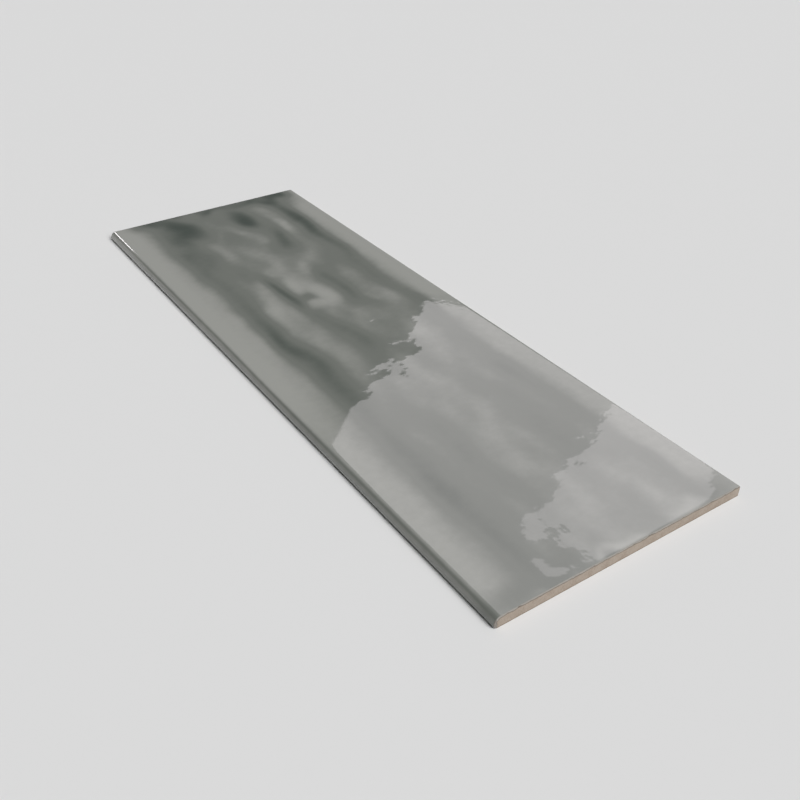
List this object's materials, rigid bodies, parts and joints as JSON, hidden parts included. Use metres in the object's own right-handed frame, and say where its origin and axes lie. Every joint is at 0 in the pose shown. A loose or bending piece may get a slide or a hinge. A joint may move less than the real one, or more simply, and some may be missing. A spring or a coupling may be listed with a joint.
{
  "type": "bullnose tile",
  "caption": "Long flat glazed ceramic wall tile with an undulating face, one long edge rounded over and glazed, the other edges bare clay, and a keyed back.",
  "frame": {"origin": "middle of the back, on the plane the tile lies on", "axes": "+X from the rounded long edge to the square one, +Y along the tile, +Z out of the glazed face"},
  "size_m": [0.2, 0.6, 0.0084],
  "materials": {
    "glaze": "glossy grey-green glaze on the face and rounded edge, bare tan clay on the other edges and the back"
  },
  "bodies": {
    "root": {"bullnose_tile": "glaze"}
  },
  "joints": []
}
